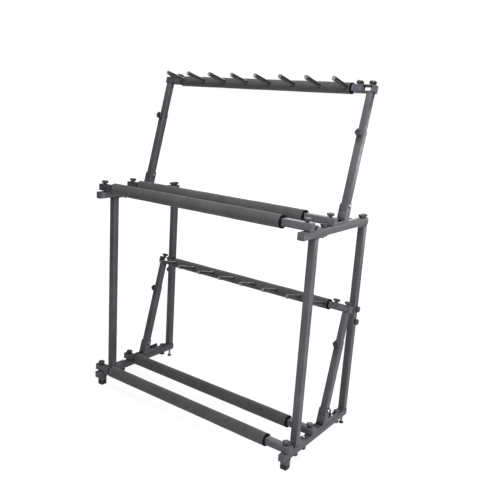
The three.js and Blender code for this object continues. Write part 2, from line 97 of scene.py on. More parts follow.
# Start and end of the right-hand arm bracket, and of its slot with the slot's height
ARM_BRACKET = (384.8, 465.2)
ARM_BRACKET_WALL = 1.2
ARM_SLOT = (418.3, 455.2, 18)
# Start, end and radius of the foam on a peg bar
PEG_SLEEVE = (-381.7, 380.2, 19.5)
PEGS = 8
PEG_GAP = 103.64
PEG_XS = tuple((i - (PEGS - 1) / 2) * PEG_GAP for i in range(PEGS))
PEG_TILT = -2
# How far the ends are coloured near black along the skin, and where the skin's slow ripple starts
FOAM_DARK_BAND = 6
FOAM_SKIN_FROM = 8

# Arms and hinges
LEAN = 15
PIVOT_Y = 273.5
PIVOT_UP = 54.5
# Start and end of the hinge bracket along the rail, and the gap between its cheeks
HINGE_Y = (192, 356.4)
HINGE_IN = 25.8
CHEEK = 2
WEB = 2
FRONT_LIP = 10
REAR_LIPS = {"lower": 18, "upper": 5}
EAR_TOP = 63
# Reach of the ear in front of the pivot and behind it, square to the arm
EAR_FRONT = 15
EAR_REAR = 14
# Rounding of the ear's tip and of the lips' ends, and the fillets from lip to ear
EAR_ROUND = 6
LIP_ROUND = 3.5
REAR_SWEEP = 11
FRONT_FILLET = 2.5
# The stop plate's start and end behind the arm and below the pivot, along the arm
STOP_Y = (-14.8, -12.8)
STOP_Z = (-42, -20)
MOUNT_SCREWS = (206.5, 340.4)
ARM_OUT = 25
ARM_OUT_WALL = 1.2
ARM_IN = 22
# Ends of the outer tube below and above the pivot, and the length of the inner tube
ARM_TAIL = 49
ARM_TOP = 252.5
ARM_IN_LENGTH = 272
CLAMP_AT = 240.5
BOSS = 4.5
SEAT = 0.3
CLAMP_X = 401.8

# Screws and knobs, all on M8 stems: how deep each knob's stem goes below its foot, then
# start and end of the screws' tips, and across flats, start and end of the nuts
STEM_RADIUS = 4
CROSSBAR_KNOB_STEM = TUBE + CROSSBAR_SEAT + 10
HEIGHT_KNOB_STEM = 5.8
CLAMP_KNOB_STEM = 9.2
BRACKET_KNOB_STEM = TUBE + 10
RAIL_TIP = (-10, 1)
LOW_TIP = (24, 35)
POST_TIP = (-16, -11)
FOOT_STEM = (6.5, 45)
RAIL_NUT = (11.2, 28.4, 32.1)
FOOT_NUT = (12.1, 29.1, 34)
PIVOT_NUT = (10.2, 0, 4.2)
UPPER_CAP_AT = 24.7
POST_CAP_SINK = 0.8
KNOB_RADIUS = 12.5
KNOB_NECK = 4.5
KNOB_HEIGHT = 9
LOBES = 5
LOBE_SIDES = 12
# How far each column of points is drawn in, from the middle of a valley outwards, and how
# far in from the rim the valleys reach
VALLEY = (0.865, 0.885, 0.93, 0.975)
VALLEY_REACH = 3.8
GROOVES = 12
GROOVE_SIDES = 4
# How far a groove's points are drawn in, and the radius that the grooves start from
GROOVE_SHARE = 0.945
GROOVE_FROM = 9.6

# Turned outlines, each a list of radius and height from its foot to its top
CROSSBAR_SEAT_OUTLINE = [(6.1, 0), (6.5, 0.4), (6.5, 3.4)]
KNOB_COLLAR = [(5.6, 0), (6, 0.5), (6, 3.2), (5.7, 4.7)]
SCREW_COLLAR = [(6.5, 0), (6.5, 3.2), (5.9, 3.9)]
SCREW_CAP = [(9.9, 3.7), (10.7, 4.1), (11, 5), (11, 10.2), (10.6, 11.2), (9.2, 12), (7.2, 11.7),
             (6.2, 11), (1.4, 10.9)]
FOOT_PAD = [(8.3, 0), (9, 0.6), (9, 2), (8.4, 2.9), (6.2, 5), (5.3, 6.4), (5, 7.4)]
MOUNT_SCREW = [(5, 1.8), (5, 2.7), (4.4, 3.4), (2.8, 3.5), (2.4, 3.5), (2.1, 2.6)]
PIVOT_HEAD = [(6, 0), (6, 3), (5.4, 4.6), (3.8, 5.5), (3, 5.5), (2.5, 3.8)]
PIVOT_TIP = [(4, 3.8), (4, 5), (3.4, 5.5)]
PIVOT_PIN = [(4, -13.5), (4, 13.5)]
CLAMP_BOSS = [(7.5, 12), (7.5, 15.7), (6.8, 17), (4.6, 17), (4.4, 16)]
PEG = [(7.5, 9), (7.5, 108.5), (7.4, 111.3), (6.8, 113.1), (5.9, 114), (5.2, 113.8), (4.9, 112.9)]
PEG_PLUG = [(5, 107), (5, 113.4), (3.4, 113.2), (3, 108)]

# The camera as fitted to the photo: its place, its turn in radians, its focal length in pixels
EYE = (1328.6, -1511.2, 1149.6)
YAW, PITCH, ROLL = 0.612, 0.234, 0.068
FOCAL, PHOTO_WIDTH = 602.0, 500
SENSOR = 36
CLIP_END = 200

# Name, place, aim and size in metres, watts, and spread in degrees. The overhead and the wide
# window lamp make the main light. The small ones lift the right-hand faces and the back.
LAMPS = (
    ("overhead", (0.6, -0.6, 3.3), (0, 0, 0.7), 1.2, 90, 180),
    ("window_right", (1.0, -1.35, 1.4), (0.4, 0, 0.6), 1.5, 37, 180),
    ("side_right", (1.5, 0.3, 0.3), (0.45, 0, 0.2), 0.6, 9, 180),
    ("rim_right", (1.25, 1.5, 1.0), (0.45, 0, 0.88), 0.5, 0.6, 30),
    ("back_fill", (-1.2, 3.0, 2.4), (0, 0, 0.7), 2.0, 74, 180))
# How bright the world is to the stand itself; the camera sees it at full white
WORLD_LIGHT = 0.1
FLOOR_SIZE = 60
FLOOR_DROP = 0.0002
FLOOR_GLOW = 1.12
# The floor goes from shaded to plain white between these distances in metres. FLOOR_SHARE is
# how much of that white it has at the nearer one.
FLOOR_NEAR, FLOOR_FAR = 1.2, 2.6
FLOOR_SHARE = 0.8


def point(x, y, z):
    return Vector((x, y, z)) * MM


def shifted(x, y, z):
    return Matrix.Translation(point(x, y - MID_Y, z))


# Camera, floor and light

def set_camera():
    eye = shifted(*EYE).translation
    look = Vector((-math.sin(YAW) * math.cos(PITCH), math.cos(YAW) * math.cos(PITCH),
                   -math.sin(PITCH)))
    side = look.cross(Vector((0, 0, 1))).normalized()
    up = side.cross(look)
    right = math.cos(ROLL) * side + math.sin(ROLL) * up
    top = -math.sin(ROLL) * side + math.cos(ROLL) * up
    data = bpy.data.cameras.new("view")
    data.sensor_width = SENSOR
    data.lens = SENSOR * FOCAL / PHOTO_WIDTH
    data.clip_end = CLIP_END
    camera = bpy.data.objects.new("view", data)
    camera.matrix_world = Matrix((
        (right.x, top.x, -look.x, eye.x),
        (right.y, top.y, -look.y, eye.y),
        (right.z, top.z, -look.z, eye.z),
        (0, 0, 0, 1)))
    bpy.context.scene.collection.objects.link(camera)
    bpy.context.scene.camera = camera


def add_lamp(name, spot, aim, size, power, spread):
    data = bpy.data.lights.new(name, "AREA")
    data.size = size
    data.energy = power
    data.spread = math.radians(spread)
    lamp_object = bpy.data.objects.new(name, data)
    turn = (Vector(aim) - Vector(spot)).to_track_quat("-Z", "Y")
    lamp_object.matrix_world = Matrix.Translation(spot) @ turn.to_matrix().to_4x4()
    bpy.context.scene.collection.objects.link(lamp_object)


set_camera()
for row in LAMPS:
    add_lamp(*row)


# Node helpers

def linear(hexa):
    """An sRGB hex colour as linear light."""
    out = []
    for start in (1, 3, 5):
        value = int(hexa[start:start + 2], 16) / 255
        out.append(value / 12.92 if value <= 0.04045 else ((value + 0.055) / 1.055) ** 2.4)
    return (*out, 1)


def add(tree, kind, links=None, stops=(), **settings):
    """One node, with its settings by attribute or input name, its links by input name and
    the colour stops of a ramp."""
    node = tree.nodes.new(kind)
    for i, (position, colour) in enumerate(stops):
        element = node.color_ramp.elements
        stop = element[i] if i < 2 else element.new(position)
        stop.position, stop.color = position, linear(colour)
    for key, value in settings.items():
        if hasattr(node, key):
            setattr(node, key, value)
        else:
            node.inputs[key.replace("_", " ")].default_value = value
    for key, source in (links or {}).items():
        target = node.inputs[key] if isinstance(key, int) else node.inputs[key.replace("_", " ")]
        tree.links.new(source, target)
    return node


def new_material(name):
    material = bpy.data.materials.new(name)
    material.use_nodes = True
    tree = material.node_tree
    tree.nodes.clear()
    return material, tree


def finish_material(tree, shader):
    output = tree.nodes.new("ShaderNodeOutputMaterial")
    tree.links.new(shader.outputs[0], output.inputs["Surface"])


def powder_coat(name, dark, base, light):
    """Satin polyester powder coat on mild steel: sprayed and baked, so it has a soft
    sheen, an orange-peel ripple 1.5 mm across (650 to the metre), rubs 6 mm across that
    change its gloss, and slow clouds of a paler tone."""
    material, tree = new_material(name)
    coords = add(tree, "ShaderNodeTexCoord").outputs["Object"]
    cloud = add(tree, "ShaderNodeTexNoise", {"Vector": coords}, Scale=9.0, Detail=4.0,
                Roughness=0.6)
    colour = add(tree, "ShaderNodeValToRGB", {0: cloud.outputs["Fac"]},
                 stops=((0.3, dark), (0.52, base), (0.75, light))).outputs["Color"]
    rub = add(tree, "ShaderNodeTexNoise", {"Vector": coords}, Scale=160.0, Detail=3.0,
              Roughness=0.7)
    rough = add(tree, "ShaderNodeMapRange", {0: rub.outputs["Fac"]},
                From_Min=0.3, From_Max=0.7, To_Min=0.44, To_Max=0.6).outputs["Result"]
    peel = add(tree, "ShaderNodeTexNoise", {"Vector": coords}, Scale=650.0, Detail=2.0,
               Roughness=0.5)
    bump = add(tree, "ShaderNodeBump", {"Height": peel.outputs["Fac"]}, Strength=0.16,
               Distance=0.0006)
    shader = add(tree, "ShaderNodeBsdfPrincipled",
                 {"Base_Color": colour, "Roughness": rough, "Normal": bump.outputs["Normal"]})
    shader.inputs["IOR"].default_value = 1.5
    shader.inputs["Specular IOR Level"].default_value = 0.4
    shader.inputs["Coat Weight"].default_value = 0.06
    shader.inputs["Coat Roughness"].default_value = 0.35
    finish_material(tree, shader)
    return material


def closed_cell_foam(name, dark, base, light, cell, sheen, gloss):
    """Extruded closed-cell rubber foam: a dry matt skin pricked by pores, drawn 2 to 3 mm
    across, wider than real ones, so that they show, each darkened towards its middle with
    painted shade, with pale scuffs 70 mm across."""
    material, tree = new_material(name)
    coords = add(tree, "ShaderNodeTexCoord").outputs["Object"]
    cloud = add(tree, "ShaderNodeTexNoise", {"Vector": coords}, Scale=14.0, Detail=5.0,
                Roughness=0.65)
    colour = add(tree, "ShaderNodeValToRGB", {0: cloud.outputs["Fac"]},
                 stops=((0.3, dark), (0.5, base), (0.74, light))).outputs["Color"]
    pores = add(tree, "ShaderNodeTexVoronoi", {"Vector": coords}, Scale=1000.0 / cell)
    pore_height = add(tree, "ShaderNodeMapRange", {0: pores.outputs["Distance"]}, From_Min=0.0,
                      From_Max=0.55, To_Min=0.0, To_Max=1.0).outputs["Result"]
    # Painted shade: each pore is darkened towards its middle, where the bump below dents it
    painted_pore_shade = add(tree, "ShaderNodeValToRGB", {0: pore_height},
                stops=((0.0, "#8a8a8a"), (0.45, "#ffffff"))).outputs["Color"]
    mixed = add(tree, "ShaderNodeMix", data_type="RGBA", blend_type="MULTIPLY")
    mixed.inputs["Factor"].default_value = 0.7
    tree.links.new(colour, mixed.inputs[6])
    tree.links.new(painted_pore_shade, mixed.inputs[7])
    bump = add(tree, "ShaderNodeBump", {"Height": pore_height}, Strength=0.35, Distance=0.0008)
    shader = add(tree, "ShaderNodeBsdfPrincipled",
                 {"Base_Color": mixed.outputs[2], "Normal": bump.outputs["Normal"]}, Roughness=0.86)
    shader.inputs["Specular IOR Level"].default_value = gloss
    shader.inputs["Sheen Weight"].default_value = sheen
    shader.inputs["Sheen Roughness"].default_value = 0.6
    finish_material(tree, shader)
    return material


def moulded(name, base, light, rough):
    """Plastic or rubber moulded in a spark-eroded tool: a plain colour with a fine sandy
    grain 0.8 mm across (1200 to the metre, coarser than real so that it shows)."""
    material, tree = new_material(name)
    coords = add(tree, "ShaderNodeTexCoord").outputs["Object"]
    grain = add(tree, "ShaderNodeTexNoise", {"Vector": coords}, Scale=1200.0, Detail=2.0)
    cloud = add(tree, "ShaderNodeTexNoise", {"Vector": coords}, Scale=60.0, Detail=3.0)
    colour = add(tree, "ShaderNodeValToRGB", {0: cloud.outputs["Fac"]},
                 stops=((0.35, base), (0.7, light))).outputs["Color"]
    roughness = add(tree, "ShaderNodeMapRange", {0: cloud.outputs["Fac"]}, From_Min=0.3,
                    From_Max=0.7, To_Min=rough - 0.06, To_Max=rough + 0.06).outputs["Result"]
    bump = add(tree, "ShaderNodeBump", {"Height": grain.outputs["Fac"]}, Strength=0.25,
               Distance=0.0004)
    shader = add(tree, "ShaderNodeBsdfPrincipled",
                 {"Base_Color": colour, "Roughness": roughness, "Normal": bump.outputs["Normal"]})
    shader.inputs["IOR"].default_value = 1.53
    finish_material(tree, shader)
    return material


def zinc_plate(name):
    """Bright zinc plated on a rolled steel thread or nut: cool grey metal, clouded in
    patches 5 mm across."""
    material, tree = new_material(name)
    coords = add(tree, "ShaderNodeTexCoord").outputs["Object"]
    cloud = add(tree, "ShaderNodeTexNoise", {"Vector": coords}, Scale=220.0, Detail=4.0)
    colour = add(tree, "ShaderNodeValToRGB", {0: cloud.outputs["Fac"]},
                 stops=((0.3, "#7d8084"), (0.7, "#abaeb2"))).outputs["Color"]
    roughness = add(tree, "ShaderNodeMapRange", {0: cloud.outputs["Fac"]}, From_Min=0.3,
                    From_Max=0.7, To_Min=0.24, To_Max=0.42).outputs["Result"]
    shader = add(tree, "ShaderNodeBsdfPrincipled",
                 {"Base_Color": colour, "Roughness": roughness}, Metallic=1.0)
    finish_material(tree, shader)
    return material


# Mild steel tube and sheet in satin black powder coat: dark grey, softly shining
STEEL = powder_coat("satin_powder_coated_steel", "#37363a", "#403f44", "#49484d")
# Black rubber foam: dry and matt on its skin, and black where a knife has cut it open; the same
# near black also covers a band of skin a few millimetres wide at each end
FOAM = closed_cell_foam("closed_cell_rubber_foam", "#292828", "#323131", "#3c3b3b", 2.2, 0.1, 0.45)
FOAM_DARK_END = closed_cell_foam("dark_foam_end", "#060606", "#0a0a0a", "#101010", 3.0, 0.0, 0.08)
# Glass-filled nylon knobs, caps and pegs: near black with a dull sheen
NYLON = moulded("moulded_glass_filled_nylon", "#19191b", "#232325", 0.5)
# Grey polypropylene plug in the end of a peg: pale and matt
PEG_END = moulded("moulded_grey_polypropylene", "#9d9d9b", "#b5b5b2", 0.55)
# Rubber feet: the darkest pieces, with hardly any sheen
RUBBER = moulded("moulded_black_rubber", "#0f0f0f", "#171717", 0.75)
ZINC = zinc_plate("bright_zinc_plated_steel")


def floor_material():
    """Painted studio floor, matt white: near the stand it takes a soft shadow, and further
    off the camera sees it as plain white. Other rays see the paint alone."""
    material, tree = new_material("matt_white_studio_floor")
    coords = add(tree, "ShaderNodeTexCoord").outputs["Object"]
    cloud = add(tree, "ShaderNodeTexNoise", {"Vector": coords}, Scale=0.6, Detail=2.0)
    colour = add(tree, "ShaderNodeValToRGB", {0: cloud.outputs["Fac"]},
                 stops=((0.3, "#cbcbcb"), (0.7, "#d1d1d1"))).outputs["Color"]
    plain = add(tree, "ShaderNodeBsdfPrincipled", {"Base_Color": colour}, Roughness=0.9)
    glow = add(tree, "ShaderNodeEmission", Color=(1, 1, 1, 1), Strength=FLOOR_GLOW)
    rays = add(tree, "ShaderNodeLightPath")
    away = add(tree, "ShaderNodeVectorMath", {0: coords}, operation="LENGTH")
    cover = add(tree, "ShaderNodeMapRange", {0: away.outputs["Value"]}, From_Min=FLOOR_NEAR,
                From_Max=FLOOR_FAR, To_Min=FLOOR_SHARE, To_Max=1.0)
    share = add(tree, "ShaderNodeMath",
                {0: rays.outputs["Is Camera Ray"], 1: cover.outputs["Result"]},
                operation="MULTIPLY")
    mixed = add(tree, "ShaderNodeMixShader",
                {0: share.outputs[0], 1: plain.outputs[0], 2: glow.outputs[0]})
    finish_material(tree, mixed)
    return material


def set_world():
    world = bpy.data.worlds.new("studio")
    bpy.context.scene.world = world
    world.use_nodes = True
    tree = world.node_tree
    tree.nodes.clear()
    rays = add(tree, "ShaderNodeLightPath")
    strength = add(tree, "ShaderNodeMapRange", {0: rays.outputs["Is Camera Ray"]}, From_Min=0.0,
                   From_Max=1.0, To_Min=WORLD_LIGHT, To_Max=1.0)
    sky = add(tree, "ShaderNodeBackground", {"Strength": strength.outputs["Result"]},
              Color=(1, 1, 1, 1))
    output = tree.nodes.new("ShaderNodeOutputWorld")
    tree.links.new(sky.outputs[0], output.inputs["Surface"])


def add_floor():
    bpy.ops.mesh.primitive_plane_add(size=FLOOR_SIZE, location=(0, 0, -FLOOR_DROP))
    floor = bpy.context.object
    floor.name = "studio_floor"
    floor.data.materials.append(floor_material())


bpy.ops.object.select_all(action="DESELECT")
set_world()
add_floor()


# Modelling helpers, working in millimetres

def start_piece(name, material):
    piece = bpy.context.object
    piece.name = name
    bpy.ops.object.transform_apply(location=True, rotation=True, scale=True)
    piece.data.materials.append(material)
    return piece


def cube(name, low, high, material):
    bpy.ops.object.select_all(action="DESELECT")
    size = [(b - a) * MM for a, b in zip(low, high)]
    centre = [(a + b) / 2 * MM for a, b in zip(low, high)]
    bpy.ops.mesh.primitive_cube_add(size=1, location=centre, scale=size)
    return start_piece(name, material)


def pick(kind, test):
    """In edit mode, selects the vertices, edges or faces that pass a test on their middle
    and direction."""
    bpy.ops.mesh.select_mode(type=kind)
    mesh = bmesh.from_edit_mesh(bpy.context.edit_object.data)
    for group in (mesh.verts, mesh.edges, mesh.faces):
        for item in group:
            item.select = False
    if kind == "VERT":
        chosen = [v for v in mesh.verts if test(v.co / MM)]
    elif kind == "EDGE":
        chosen = [e for e in mesh.edges if test((e.verts[0].co + e.verts[1].co) / 2 / MM,
                                                (e.verts[1].co - e.verts[0].co).normalized())]
    else:
        mesh.normal_update()
        chosen = [f for f in mesh.faces if test(f.calc_center_median() / MM, f.normal)]
    for item in chosen:
        item.select_set(True)
    mesh.select_flush_mode()
    bmesh.update_edit_mesh(bpy.context.edit_object.data)


def edit(piece):
    bpy.ops.object.select_all(action="DESELECT")
    bpy.context.view_layer.objects.active = piece
    piece.select_set(True)
    bpy.ops.object.mode_set(mode="EDIT")


def leave():
    bpy.ops.object.mode_set(mode="OBJECT")


def bevel(width, steps):
    bpy.ops.mesh.bevel(offset=width * MM, offset_type="OFFSET", segments=steps, profile=0.5,
                       affect="EDGES")


def extrude(x, y, z):
    bpy.ops.mesh.extrude_region_move(TRANSFORM_OT_translate={"value": (x * MM, y * MM, z * MM)})


def modify(piece, kind, **settings):
    bpy.ops.object.select_all(action="DESELECT")
    bpy.context.view_layer.objects.active = piece
    piece.select_set(True)
    modifier = piece.modifiers.new("shape", kind)
    for key, value in settings.items():
        setattr(modifier, key, value)
    bpy.ops.object.modifier_apply(modifier=modifier.name)


def soften(piece, width, steps=2, angle=35):
    """Rounds every remaining sharp edge a little, then shades smooth between them."""
    modify(piece, "BEVEL", width=width * MM, segments=steps, limit_method="ANGLE",
           angle_limit=math.radians(angle), use_clamp_overlap=True)
    smooth(piece)
    return piece


def smooth(piece, angle=35):
    bpy.ops.object.select_all(action="DESELECT")
    bpy.context.view_layer.objects.active = piece
    piece.select_set(True)
    bpy.ops.object.shade_smooth_by_angle(angle=math.radians(angle))


def face_out(piece):
    edit(piece)
    bpy.ops.mesh.select_all(action="SELECT")
    bpy.ops.mesh.remove_doubles(threshold=0.00001)
    bpy.ops.mesh.normals_make_consistent(inside=False)
    leave()


def join(name, *parts):
    bpy.ops.object.select_all(action="DESELECT")
    for part in parts:
        part.select_set(True)
    bpy.context.view_layer.objects.active = parts[0]
    bpy.ops.object.join()
    parts[0].name = name
    return parts[0]


def place(piece, matrix):
    piece.data.transform(matrix)
    piece.data.update()
    return piece


def twin(piece, name):
    copy = piece.copy()
    copy.data = piece.data.copy()
    copy.name = name
    bpy.context.scene.collection.objects.link(copy)
    return copy


def turned(name, profile, material, sides):
    """Round piece about Z: a disc extruded up ring by ring through its radii and heights."""
    bpy.ops.object.select_all(action="DESELECT")
    radius, height = profile[0]
    bpy.ops.mesh.primitive_circle_add(vertices=sides, radius=radius * MM, fill_type="NGON",
                                      location=(0, 0, height * MM))
    piece = start_piece(name, material)
    edit(piece)
    bpy.ops.mesh.select_mode(type="FACE")
    bpy.ops.mesh.select_all(action="SELECT")
    for next_radius, next_height in profile[1:]:
        extrude(0, 0, next_height - height)
        share = next_radius / radius
        bpy.ops.transform.resize(value=(share, share, 1), center_override=(0, 0, 0))
        radius, height = next_radius, next_height
    leave()
    face_out(piece)
    smooth(piece)
    return piece


def square_tube(name, size, wall, corner, start, end, material):
    """Square tube along Z: a block with rounded long edges, its ends taken off and its wall
    given thickness."""
    half = size / 2
    piece = cube(name, (-half, -half, start), (half, half, end), material)
    edit(piece)
    pick("EDGE", lambda middle, along: abs(along.z) > ALIGNED)
    bevel(corner, 4)
    pick("FACE", lambda middle, normal: abs(normal.z) > ALIGNED)
    bpy.ops.mesh.delete(type="FACE")
    leave()
    modify(piece, "SOLIDIFY", thickness=wall * MM, offset=-1.0, use_even_offset=True)
    return soften(piece, 0.25, 2, 50)


def closed_bar(name, low, high, corner, material, axis=2):
    """Square bar with rounded long edges and a plug seam pressed into each end."""
    piece = cube(name, low, high, material)
    edit(piece)
    pick("EDGE", lambda middle, along: abs(along[axis]) > ALIGNED)
    bevel(corner, 4)
    for end in (-1, 1):
        pick("FACE", lambda middle, normal: normal[axis] * end > ALIGNED)
        bpy.ops.mesh.inset(thickness=TUBE_WALL * MM)
        bpy.ops.mesh.inset(thickness=SEAM_WIDTH * MM, depth=-SEAM_DEPTH * MM)
        bpy.ops.mesh.inset(thickness=SEAM_WIDTH * MM, depth=PLUG_RISE * MM)
    leave()
    return soften(piece, 0.3, 2, 50)


def weld_bead(name, size, corner, height, material):
    """Square ring of weld round a tube's foot, drawn up to a rounded back."""
    ring = square_tube(name, size + 2 * WELD_OUT, WELD_WALL, corner + WELD_OUT, 0, height,
                       material)
    return soften(ring, 0.9, 3, 50)


def dress(piece, body, node):
    """Puts a finished piece on its body, in its finish, in place of its CAD node."""
    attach(piece, body)
    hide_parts(node)
    return piece


def put(source, node, matrix, body):
    """A copy of a spare piece, in its place and dressed as one CAD node."""
    return dress(place(twin(source, "dressed_" + node), matrix), body, node)


def clear(*spares):
    for spare in spares:
        bpy.data.objects.remove(spare, do_unlink=True)


def arm_frame(rail_top, along=0):
    return (Matrix.Translation(point(0, PIVOT_Y - MID_Y, rail_top + PIVOT_UP))
            @ Matrix.Rotation(math.radians(-LEAN), 4, "X") @ Matrix.Translation(point(0, 0, along)))


def mirrored(piece, name):
    copy = twin(piece, name)
    place(copy, Matrix.Diagonal((-1, 1, 1, 1)))
    face_out(copy)
    return copy


# Turned parts: stems, nuts, screws and knobs

def threaded_stem(name, radius, start, end):
    """Rolled thread drawn as rings 1.6 mm apart, coarser than the real 1.25 mm pitch of an
    M8 screw so that they show."""
    pitch, depth = 1.6, 0.45
    profile = [(radius - 2 * depth, start), (radius - depth, start + depth)]
    height = start + depth
    while height + pitch < end:
        profile += [(radius, height + 0.3 * pitch), (radius, height + 0.5 * pitch),
                    (radius - depth, height + 0.8 * pitch), (radius - depth, height + pitch)]
        height += pitch
    profile += [(radius - depth, end)]
    return turned(name, profile, ZINC, 20)


def hex_nut(name, across, start, end):
    radius = across / 2 / math.cos(math.pi / 6)
    nut = turned(name, [(radius, start), (radius, end)], ZINC, 6)
    return soften(nut, 0.5, 2, 40)


def lobed_head(name, radius, start, thickness):
    """Five-lobed grip: a disc with a domed, dished top, drawn in between the lobes."""
    top = start + thickness
    profile = [(5.8, start), (radius - 2.2, start), (radius - 0.6, start + 0.7),
               (radius, start + 1.9), (radius, top - 2.3), (radius - 0.5, top - 1.1),
               (radius - 1.7, top - 0.3), (radius - 3.4, top), (radius - 5.2, top - 0.15),
               (radius - 5.9, top - 0.9), (3.2, top - 1.0), (1.2, top - 1.0)]
    sides = LOBES * LOBE_SIDES
    head = turned(name, profile, NYLON, sides)
    edit(head)
    for step, share in enumerate(VALLEY):
        def in_valley(spot, wanted=step):
            if math.hypot(spot.x, spot.y) < radius - VALLEY_REACH:
                return False
            turn = round(math.atan2(spot.y, spot.x) / math.tau * sides) % LOBE_SIDES
            return min(turn, LOBE_SIDES - turn) == wanted
        pick("VERT", in_valley)
        bpy.ops.transform.resize(value=(share, share, 1), center_override=(0, 0, 0))
    leave()
    smooth(head, 40)
    return head


def hand_knob(name, stem):
    head = lobed_head(name + "_head", KNOB_RADIUS, KNOB_NECK, KNOB_HEIGHT)
    collar = turned(name + "_collar", KNOB_COLLAR, NYLON, 32)
    return join(name, head, collar, threaded_stem(name + "_stem", STEM_RADIUS, -stem, 0.5))


def knurled_cap(name):
    """Cap of a hand screw: a collar, then a dished disc with twelve shallow grooves."""
    sides = GROOVES * GROOVE_SIDES
    cap = turned(name + "_cap", SCREW_CAP, NYLON, sides)
    edit(cap)

    def in_groove(spot):
        turn = round(math.atan2(spot.y, spot.x) / math.tau * sides) % GROOVE_SIDES
        return turn == 0 and math.hypot(spot.x, spot.y) > GROOVE_FROM
    pick("VERT", in_groove)
    bpy.ops.transform.resize(value=(GROOVE_SHARE, GROOVE_SHARE, 1), center_override=(0, 0, 0))
    leave()
    collar = turned(name + "_collar", SCREW_COLLAR, NYLON, 32)
    return join(name, cap, collar)


def rail_screw(name, y):
    """Hand screw down through the rail, its rolled tip standing below the flange."""
    cap = place(knurled_cap(name), Matrix.Translation(point(0, 0, TUBE)))
    tip = threaded_stem(name + "_tip", STEM_RADIUS, *RAIL_TIP)
    return place(join(name, cap, tip), Matrix.Translation(point(0, y, 0)))


def low_screw(name, y, top):
    """Hand screw up through the rail, bare, with a nut or with a second cap on top."""
    parts = [place(knurled_cap(name), Matrix.Rotation(math.pi, 4, "X"))]
    if top:
        parts.append(threaded_stem(name + "_tip", STEM_RADIUS, *LOW_TIP))
    if top == "nut":
        parts.append(hex_nut(name + "_nut", *RAIL_NUT))
    if top == "cap":
        upper = knurled_cap(name + "_upper")
        parts.append(place(upper, Matrix.Translation(point(0, 0, UPPER_CAP_AT))))
    return place(join(name, *parts), Matrix.Translation(point(0, y, 0)))


# Side frames

def rail_blank(name):
    return closed_bar(name, (-TUBE / 2, 0, 0), (TUBE / 2, RAIL_LENGTH, TUBE), TUBE_CORNER,
                      STEEL, 1)


def top_rail():
    screws = [rail_screw(f"top_screw_{i}", y) for i, y in enumerate(TOP_SCREWS)]
    return join("top_rail", rail_blank("top_rail"), *screws)


def bottom_rail():
    half = TUBE / 2
    stub = closed_bar("foot_stub", (-half, FRONT_FOOT_Y - half, -FOOT_STUB),
                      (half, FRONT_FOOT_Y + half, 0), TUBE_CORNER, STEEL)
    bead = weld_bead("stub_weld", TUBE, TUBE_CORNER, STUB_WELD, STEEL)
    place(bead, Matrix.Translation(point(0, FRONT_FOOT_Y, -STUB_WELD)))
    screws = [low_screw(f"low_screw_{i}", y, top) for i, (y, top) in enumerate(BOTTOM_SCREWS)]
    return join("bottom_rail", rail_blank("bottom_rail"), stub, bead, *screws)


def flange(name, low_y, high_y, z):
    plate = cube(name, (-TUBE / 2, low_y, z), (TUBE / 2, high_y, z + FLANGE), STEEL)
    edit(plate)
    pick("EDGE", lambda middle, along: abs(along.z) > ALIGNED)
    bevel(FLANGE_CORNER, 4)
    leave()
    return soften(plate, 0.4)


def post(name, low, high):
    length = POST_TOP - POST_BOTTOM
    tube = square_tube(name, TUBE, TUBE_WALL, TUBE_CORNER, 0, length, STEEL)
    feet = [flange(name + "_low_flange", *low, 0),
            flange(name + "_high_flange", *high, length - FLANGE)]
    beads = []
    for word, z in (("low", FLANGE), ("high", length - FLANGE - POST_WELD)):
        bead = weld_bead(f"{name}_{word}_weld", TUBE - POST_WELD_INSET, TUBE_CORNER, POST_WELD,
                         STEEL)
        beads.append(place(bead, Matrix.Translation(point(0, 0, z))))
    return join(name, tube, *feet, *beads)


def post_knob(name, side, z):
    """Hand screw across the rear post: cap on the outer face, threaded tip on the inner."""
    cap = place(knurled_cap(name), Matrix.Translation(point(0, 0, TUBE / 2 - POST_CAP_SINK)))
    knob = join(name, cap, threaded_stem(name + "_tip", STEM_RADIUS, *POST_TIP))
    turn = Matrix.Rotation(math.radians(90 * side), 4, "Y")
    return place(knob, Matrix.Translation(point(0, 0, z - POST_BOTTOM)) @ turn)


def add_side_frames():
    rails = {"top": top_rail(), "bottom": bottom_rail()}
    posts = {word: post(f"{word}_post", low, high) for word, _, low, high in POSTS}
    for word, side in SIDES:
        for level, z in RAIL_BOTTOMS:
            node = f"{level}_rail_{word}"
            put(rails[level], node, shifted(side * SIDE_X, 0, z), "frame")
        for place_word, y, _, _ in POSTS:
            node = f"{place_word}_post_{word}"
            copy = twin(posts[place_word], "dressed_" + node)
            if place_word == "rear":
                knobs = [post_knob(f"{node}_knob_{i}", side, z) for i, z in enumerate(POST_KNOBS)]
                copy = join("dressed_" + node, copy, *knobs)
            place(copy, shifted(side * SIDE_X, y, POST_BOTTOM))
            dress(copy, "frame", node)
    clear(*rails.values(), *posts.values())


# Feet

def foot_cap():
    """Moulded rubber cap over the square foot: chamfered sole, a groove below its lip."""
    half = TUBE / 2
    below, groove_deep, groove_high, flare, lip, sole = 13.5, 0.6, 1.2, 0.4, 3.4, 1.2
    back_out = TUBE / (TUBE - 2 * groove_deep)
    cap = cube("foot_cap", (-half, -half, 0), (half, half, below), RUBBER)
    edit(cap)
    pick("EDGE", lambda middle, along: abs(along.z) > ALIGNED)
    bevel(TUBE_CORNER + groove_deep, 4)
    pick("EDGE", lambda middle, along: middle.z < NEAR)
    bevel(sole, 2)
    pick("FACE", lambda middle, normal: normal.z > ALIGNED)
    bpy.ops.mesh.inset(thickness=groove_deep * MM)
    extrude(0, 0, groove_high)
    pick("FACE", lambda middle, normal: normal.z > ALIGNED
         and middle.z > below + groove_high - NEAR)
    extrude(0, 0, flare)
    bpy.ops.transform.resize(value=(back_out, back_out, 1), center_override=(0, 0, 0))
    extrude(0, 0, lip)
    leave()
    return soften(cap, 0.35, 2, 40)


